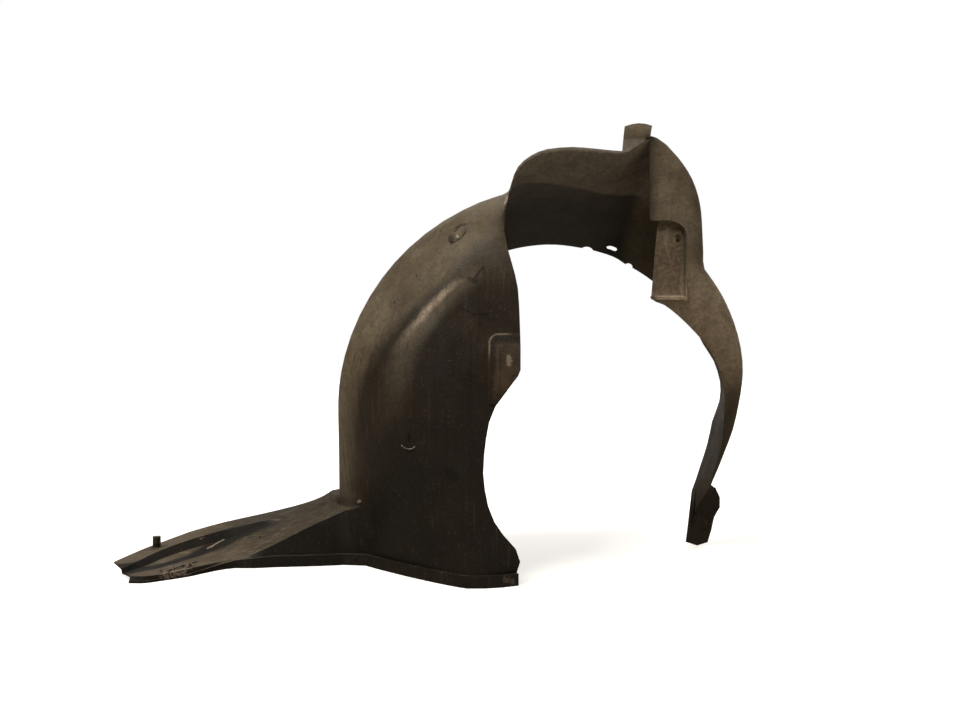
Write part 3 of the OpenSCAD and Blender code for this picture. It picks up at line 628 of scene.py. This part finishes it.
# The clip seat: an oval lens high on the shoulder, with a slit that takes a clip's leg. It is
# moulded in one with the sheet, from the same plastic, and lies on the shoulder's own curve.
liner_skin = BVHTree.FromPolygons(
    [v.co[:] for v in liner.data.vertices], [p.vertices[:] for p in liner.data.polygons]
)


def on_skin(point, facing_out):
    """The place on the liner's skin at a point, seen from 20 mm outside along facing_out."""
    hit, normal, _, _ = liner_skin.ray_cast(point + facing_out * 0.02, -facing_out, 0.05)
    return (hit, normal) if hit is not None else (point, facing_out)


def piece(name, mesh, material):
    obj = bpy.data.objects.new(name, mesh)
    bpy.context.scene.collection.objects.link(obj)
    mesh.materials.append(material)
    for face in mesh.polygons:
        face.use_smooth = True
    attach(obj, "root")


def pressed(name, centre, along, facing_out, half_length, half_width, profile, material):
    """A closed lens on the skin. The profile gives its height at each place of the oval."""
    centre, facing_out = Vector(centre), Vector(facing_out).normalized()
    along = Vector(along)
    along = (along - facing_out * along.dot(facing_out)).normalized()
    aside = facing_out.cross(along)
    rings, spokes, sunk = 18, 56, 0.0012
    shape = bmesh.new()

    def place(share, turn, lift):
        a, b = share * math.cos(turn), share * math.sin(turn)
        point = centre + along * (a * half_length) + aside * (b * half_width)
        hit, _ = on_skin(point, facing_out)
        return hit + facing_out * (profile(a, b) if lift is None else lift)

    middle = shape.verts.new(place(0, 0, None))
    last = None
    for i in range(1, rings + 2):
        share = min(i / rings, 1)
        lift = None if i <= rings else -sunk
        ring = [shape.verts.new(place(share, math.tau * k / spokes, lift)) for k in range(spokes)]
        for k in range(spokes):
            n = (k + 1) % spokes
            if last is None:
                shape.faces.new((middle, ring[k], ring[n]))
            else:
                shape.faces.new((last[k], ring[k], ring[n], last[n]))
        last = ring
    shape.faces.new(reversed(last))
    bmesh.ops.recalc_face_normals(shape, faces=shape.faces)
    mesh = bpy.data.meshes.new(name)
    shape.to_mesh(mesh)
    shape.free()
    piece(name, mesh, material)


LENS_RISE = 0.0066


def lens_height(a, b):
    """A low dome with a slit above its middle and a hollow at its lower end."""
    dome = max(0.0, 1 - (a * a + b * b)) ** 0.9
    slit = math.exp(-((a - 0.18) / 0.42) ** 2 - ((b - 0.34) / 0.17) ** 2)
    low = math.exp(-((a + 0.55) / 0.22) ** 2 - ((b - 0.1) / 0.35) ** 2)
    return LENS_RISE * dome * (1 - 0.9 * slit - 0.4 * low)


pressed(
    "liner_clip_seat", centre=(0.0354, -0.1052, 0.5864), along=(0.0306, 0.001, 0.0324),
    facing_out=(-0.54, -0.67, 0.51), half_length=0.0200, half_width=0.0165,
    profile=lens_height, material=plastic,
)


# The torn edges: the lower edge of the slit in the wall is a thin lip, bent out and whitened, and
# short slivers stand along the tear in the shelf. Both are the sheet's own stretched plastic.
whitened = bpy.data.materials.new("liner_whitened_plastic")
lip = Finish(whitened)
lip_where = lip.make("ShaderNodeTexCoord").outputs["Object"]
STRETCHED = (0.24, 0.19, 0.16, 1)
UNSTRETCHED = (0.040, 0.028, 0.020, 1)
lip_whitening = lip.ramp(lip.noise(lip_where, 160, 5, 0.65), 0.4, 0.62)
lip_colour = lip.blend(lip_whitening, UNSTRETCHED, STRETCHED)
lip.links.new(lip_colour, lip.shader.inputs["Base Color"])
lip.links.new(
    lip.ramp(lip.noise(lip_where, 60, 4), 0.3, 0.7, 0.5, 0.8), lip.shader.inputs["Roughness"],
)
lip.links.new(lip.bump(lip.noise(lip_where, 500, 4, 0.7), 0.6, 0.0005), lip.shader.inputs["Normal"])


def sliver(name, path, half_widths, thick, side, material):
    """A thin strip of torn sheet along a smooth path, closed at both ends."""
    steps, sides = 6, 12
    spline = []
    for i in range(len(path) - 1):
        before = path[max(i - 1, 0)]
        after = path[min(i + 2, len(path) - 1)]
        for k in range(steps):
            s = k / steps
            spline.append((
                0.5 * ((2 * path[i]) + (path[i + 1] - before) * s
                       + (2 * before - 5 * path[i] + 4 * path[i + 1] - after) * s * s
                       + (3 * path[i] - before - 3 * path[i + 1] + after) * s * s * s),
                half_widths[i] + (half_widths[i + 1] - half_widths[i]) * s,
            ))
    spline.append((path[-1], half_widths[-1]))
    shape = bmesh.new()
    last, first = None, None
    for i, (point, half) in enumerate(spline):
        nearby = spline[min(i + 1, len(spline) - 1)][0] - spline[max(i - 1, 0)][0]
        forward = nearby.normalized()
        across_it = (side - forward * side.dot(forward)).normalized()
        up_it = forward.cross(across_it)
        ring = []
        for k in range(sides):
            turn = math.tau * k / sides
            ragged = 1 + 0.25 * noise.noise(point * 700 + Vector((k * 0.7, 0, 0)))
            ring.append(shape.verts.new(
                point + across_it * (half * ragged * math.cos(turn))
                + up_it * (thick * math.sin(turn))
            ))
        if last:
            for k in range(sides):
                n = (k + 1) % sides
                shape.faces.new((last[k], last[n], ring[n], ring[k]))
        else:
            first = ring
        last = ring
    shape.faces.new(first)
    shape.faces.new(reversed(last))
    bmesh.ops.recalc_face_normals(shape, faces=shape.faces)
    mesh = bpy.data.meshes.new(name)
    shape.to_mesh(mesh)
    shape.free()
    piece(name, mesh, material)


wall_out = Vector((-0.41, -0.91, -0.07)).normalized()
lip_places = [
    (-0.0590, -0.120, 0.2300), (-0.0540, -0.123, 0.2262), (-0.0470, -0.126, 0.2240),
    (-0.0400, -0.129, 0.2250), (-0.0345, -0.131, 0.2292),
]
lip_lift = 0.0004
lip_path = [on_skin(Vector(p), wall_out)[0] + wall_out * lip_lift for p in lip_places]
lip_widths = [0.0004, 0.0012, 0.0015, 0.0013, 0.0004]
sliver("liner_slit_lip", lip_path, lip_widths, 0.0011, wall_out, whitened)

ramp_up = Vector((-0.09, 0.04, 0.99)).normalized()
sliver_draw = random.Random(7)
tear_line = [Vector(p) for p in (
    (-0.4700, -0.0960, 0.010), (-0.4600, -0.0900, 0.010), (-0.4520, -0.0850, 0.010),
    (-0.4450, -0.0780, 0.011), (-0.4400, -0.0690, 0.011), (-0.4350, -0.0600, 0.012),
    (-0.4470, -0.0560, 0.011), (-0.4560, -0.0700, 0.010),
)]
for number, foot in enumerate(tear_line):
    hit, _ = on_skin(foot, ramp_up)
    lean = Vector((sliver_draw.uniform(-1, 1), sliver_draw.uniform(-1, 0.2), 0)).normalized()
    tall = sliver_draw.uniform(0.004, 0.008)
    path = [
        hit - ramp_up * 0.001, hit + ramp_up * tall * 0.55 + lean * 0.0015,
        hit + ramp_up * tall + lean * 0.0050, hit + ramp_up * tall * 0.7 + lean * 0.0100,
    ]
    aside = ramp_up.cross(lean)
    wide = sliver_draw.uniform(0.0025, 0.0045)
    widths = [wide, wide * 0.9, wide * 0.6, 0.0006]
    sliver(f"liner_torn_sliver_{number + 1}", path, widths, 0.0007, aside, whitened)


# Road mud that dried in crumbs on the shelf, round the tear and along the foot of the groove.
# It sticks to the plastic by itself, and each crumb sits half sunk in the dust there.
dried = bpy.data.materials.new("dried_mud")
mud = Finish(dried)
mud_where = mud.make("ShaderNodeTexCoord").outputs["Object"]
MUD_DARK = (0.060, 0.040, 0.026, 1)
MUD_DRY = (0.19, 0.14, 0.10, 1)
mud_colour = mud.blend(
    mud.ramp(mud.noise(mud_where, 220, 5, 0.6), 0.36, 0.66), MUD_DARK, MUD_DRY
)
mud.links.new(mud_colour, mud.shader.inputs["Base Color"])
mud.links.new(
    mud.ramp(mud.noise(mud_where, 90, 3), 0.3, 0.7, 0.82, 0.98), mud.shader.inputs["Roughness"],
)
mud.links.new(mud.bump(mud.noise(mud_where, 900, 5, 0.7), 0.8, 0.0006), mud.shader.inputs["Normal"])

CRUMBS = 60
CRUMB_SPREAD = 0.006
crumbs = bmesh.new()
draw = random.Random(21)
for number in range(CRUMBS):
    share = draw.random()
    foot = Vector((-0.478 + 0.052 * share, -0.094 + 0.046 * share, 0.012))
    foot += Vector((draw.gauss(0, CRUMB_SPREAD), draw.gauss(0, CRUMB_SPREAD), 0))
    hit, normal = on_skin(foot, ramp_up)
    if normal.z < 0.5:
        continue
    size = draw.uniform(0.0006, 0.0020)
    made = bmesh.ops.create_icosphere(crumbs, subdivisions=2, radius=size)
    for vert in made["verts"]:
        lump = 1 + 0.45 * noise.noise(vert.co * (0.9 / size) + Vector((number * 3.1, 0, 0)))
        vert.co = Vector((vert.co.x * lump, vert.co.y * lump, vert.co.z * lump * 0.6)) + hit
crumb_mesh = bpy.data.meshes.new("dried_mud_crumbs")
crumbs.to_mesh(crumb_mesh)
crumbs.free()
piece("dried_mud_crumbs", crumb_mesh, dried)


# The studio floor: white paper that runs out of sight under the liner.
# It shows white to the lens and gives the object only a weak light from below.
PAPER_LIGHT = (0.24, 0.215, 0.18, 1)
PAPER_SEEN = (0.90, 0.90, 0.90, 1)
PAPER_GLOW = 0.42
paper = bpy.data.materials.new("studio_paper")
paper.use_nodes = True
nodes, links = paper.node_tree.nodes, paper.node_tree.links
shader = nodes["Principled BSDF"]
shader.inputs["Roughness"].default_value = 0.9
shader.inputs["Specular IOR Level"].default_value = 0.0
seen = nodes.new("ShaderNodeLightPath")
tone = nodes.new("ShaderNodeMix")
tone.data_type = "RGBA"
tone.inputs["A"].default_value = PAPER_LIGHT
tone.inputs["B"].default_value = PAPER_SEEN
links.new(seen.outputs["Is Camera Ray"], tone.inputs["Factor"])
links.new(tone.outputs["Result"], shader.inputs["Base Color"])
shader.inputs["Emission Color"].default_value = (1, 1, 1, 1)
glow = nodes.new("ShaderNodeMath")
glow.operation = "MULTIPLY"
glow.inputs[1].default_value = PAPER_GLOW
links.new(seen.outputs["Is Camera Ray"], glow.inputs[0])
links.new(glow.outputs[0], shader.inputs["Emission Strength"])

bpy.ops.mesh.primitive_plane_add(size=60, location=(0, 0, 0))
floor = bpy.context.object
floor.name = "studio_floor"
floor.data.materials.append(paper)


# The lamps: a warm, soft main light high on the left, one from above, a weak one from the near
# right, and one from behind that lights the far edges.
def soft_sun(name, place, power, spread, colour):
    data = bpy.data.lights.new(name, "SUN")
    data.energy, data.angle, data.color = power, math.radians(spread), colour
    lamp = bpy.data.objects.new(name, data)
    bpy.context.scene.collection.objects.link(lamp)
    lamp.location = place
    lamp.rotation_euler = (-Vector(place)).to_track_quat("-Z", "Y").to_euler()


soft_sun("key", (-1.5, -1.3, 2.3), 2.9, 30, (1, 0.93, 0.82))
soft_sun("top", (0.5, 0.4, 3.0), 1.2, 70, (1, 0.95, 0.88))
soft_sun("fill", (2.0, -2.2, 1.0), 0.45, 60, (1, 0.93, 0.84))
soft_sun("back", (0.8, 2.4, 1.1), 1.1, 60, (1, 0.95, 0.88))


# The room round the floor: painted walls a long way off.
# It is dim and warm to the object and white to the lens.
world = bpy.data.worlds.new("studio")
world.use_nodes = True
nodes, links = world.node_tree.nodes, world.node_tree.links
room = nodes["Background"]
room.inputs["Color"].default_value = (1, 0.92, 0.80, 1)
room.inputs["Strength"].default_value = 0.14
backdrop = nodes.new("ShaderNodeBackground")
backdrop.inputs["Color"].default_value = (1, 1, 1, 1)
backdrop.inputs["Strength"].default_value = 1.0
seen = nodes.new("ShaderNodeLightPath")
mix = nodes.new("ShaderNodeMixShader")
links.new(seen.outputs["Is Camera Ray"], mix.inputs["Fac"])
links.new(room.outputs[0], mix.inputs[1])
links.new(backdrop.outputs[0], mix.inputs[2])
links.new(mix.outputs[0], nodes["World Output"].inputs["Surface"])
bpy.context.scene.world = world
bpy.context.scene.view_settings.view_transform = "Standard"


# The camera: a 30 mm lens on a 36 mm frame, level, 1.3 m from the liner's near side and a
# little over 350 mm up. The small rise of the lens puts the object at the photo's height.
LENS, FRAME = 30, 36
NEAR_SIDE = -0.1607
camera_data = bpy.data.cameras.new("camera")
camera_data.lens, camera_data.sensor_width = LENS, FRAME
camera_data.shift_y = 12 / 960
camera = bpy.data.objects.new("camera", camera_data)
bpy.context.scene.collection.objects.link(camera)
camera.location = (0.07272, -1.3 + NEAR_SIDE, 0.3526)
camera.rotation_euler = (math.radians(90), 0, 0)
bpy.context.scene.camera = camera
